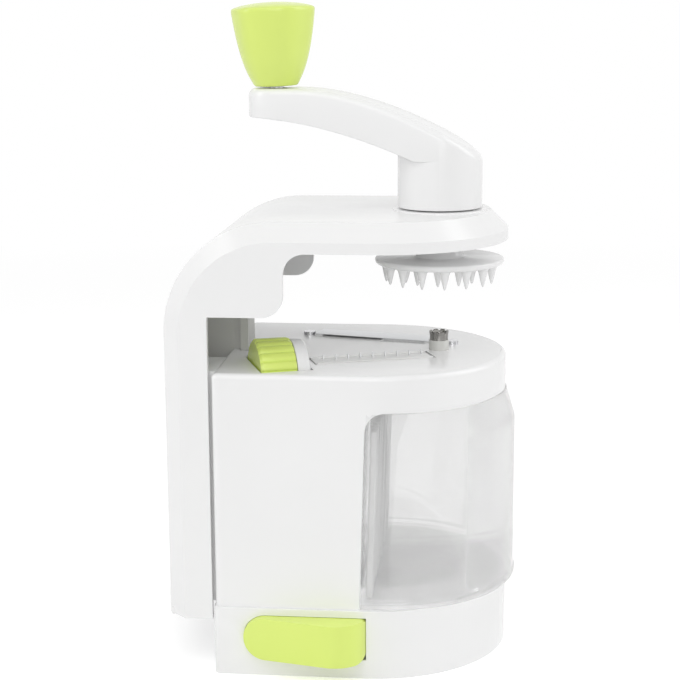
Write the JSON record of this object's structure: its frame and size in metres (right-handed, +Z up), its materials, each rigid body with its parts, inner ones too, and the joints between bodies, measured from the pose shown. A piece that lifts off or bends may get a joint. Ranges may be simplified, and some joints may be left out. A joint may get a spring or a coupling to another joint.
{
  "type": "hand-cranked spiralizer",
  "caption": "Standing vegetable spiralizer: suction foot with lever, blade deck with comb roller, clear catch container and a sliding press arm with a crank and spiked disc.",
  "frame": {"origin": "centre of the foot's round front, on the surface that the foot stands on", "axes": "+X towards the clear container, +Y away from the lever, +Z up"},
  "size_m": [0.1589, 0.1352, 0.3],
  "materials": {
    "white_plastic": "glossy",
    "lime_plastic": "glossy",
    "clear_plastic": "clear, glossy",
    "blade_steel": "satin",
    "tube_chrome": "polished",
    "screw_steel": "satin",
    "pad_rubber": "matte",
    "bearing_plastic": "matte"
  },
  "bodies": {
    "base": {"base_shell": "white_plastic", "bottom_plate": "white_plastic", "base_screws": "screw_steel", "suction_pad": "pad_rubber", "lever_pin": "screw_steel", "stem_spring": "screw_steel", "body_housing": "white_plastic", "slicing_blade": "blade_steel", "blade_screws": "screw_steel", "coring_tube": "tube_chrome", "roller_bearing": "bearing_plastic"},
    "roller": {"roller_drum": "white_plastic", "roller_axle": "screw_steel", "selector_knob": "lime_plastic", "roller_collar": "white_plastic", "coarse_comb": "white_plastic", "medium_comb": "white_plastic", "fine_comb": "white_plastic"},
    "press_arm": {"arm_shell": "white_plastic", "arm_cover": "white_plastic", "cover_screws": "screw_steel", "slide_rail": "white_plastic", "rail_screws": "screw_steel", "shaft_bushing": "bearing_plastic"},
    "crank": {"crank_arm": "white_plastic", "drive_shaft": "screw_steel", "food_disc": "white_plastic", "disc_screw": "screw_steel", "thrust_washer": "screw_steel", "knob_spindle": "screw_steel"},
    "grip": {"crank_knob": "lime_plastic"},
    "container": {"clear_container": "clear_plastic"},
    "lever": {"suction_lever": "lime_plastic"},
    "lift": {"lift_stem": "bearing_plastic"}
  },
  "joints": [
    {"name": "press_slide", "type": "slide", "parent": "base", "child": "press_arm", "axis": [0, 0, 1], "range_m": [-0.022, 0.062]},
    {"name": "crank_turn", "type": "hinge", "parent": "press_arm", "child": "crank", "pos_m": [0.0295, 0, 0.2071], "axis": [0, 0, 1], "continuous": true},
    {"name": "knob_spin", "type": "hinge", "parent": "crank", "child": "grip", "pos_m": [-0.0459, 0, 0.2593], "axis": [-0.0349, 0, 0.9994], "continuous": true},
    {"name": "roller_turn", "type": "hinge", "parent": "base", "child": "roller", "pos_m": [-0.0519, -0.0405, 0.133], "axis": [0.9379, 0.3469, 0], "continuous": true},
    {"name": "container_slide", "type": "slide", "parent": "base", "child": "container", "axis": [1, 0, 0], "range_m": [0, 0.12]},
    {"name": "lever_turn", "type": "hinge", "parent": "base", "child": "lever", "pos_m": [-0.014, -0.0588, 0], "axis": [0, 0, 1], "range_deg": [0, 60]},
    {"name": "stem_lift", "type": "slide", "parent": "base", "child": "lift", "axis": [0, 0, 1], "range_m": [-0.0025, 0], "deforming": ["stem_spring"]}
  ],
  "couplings": [
    {"joint": "stem_lift", "follows": "lever_turn", "m_per_rad": -0.0023873}
  ]
}
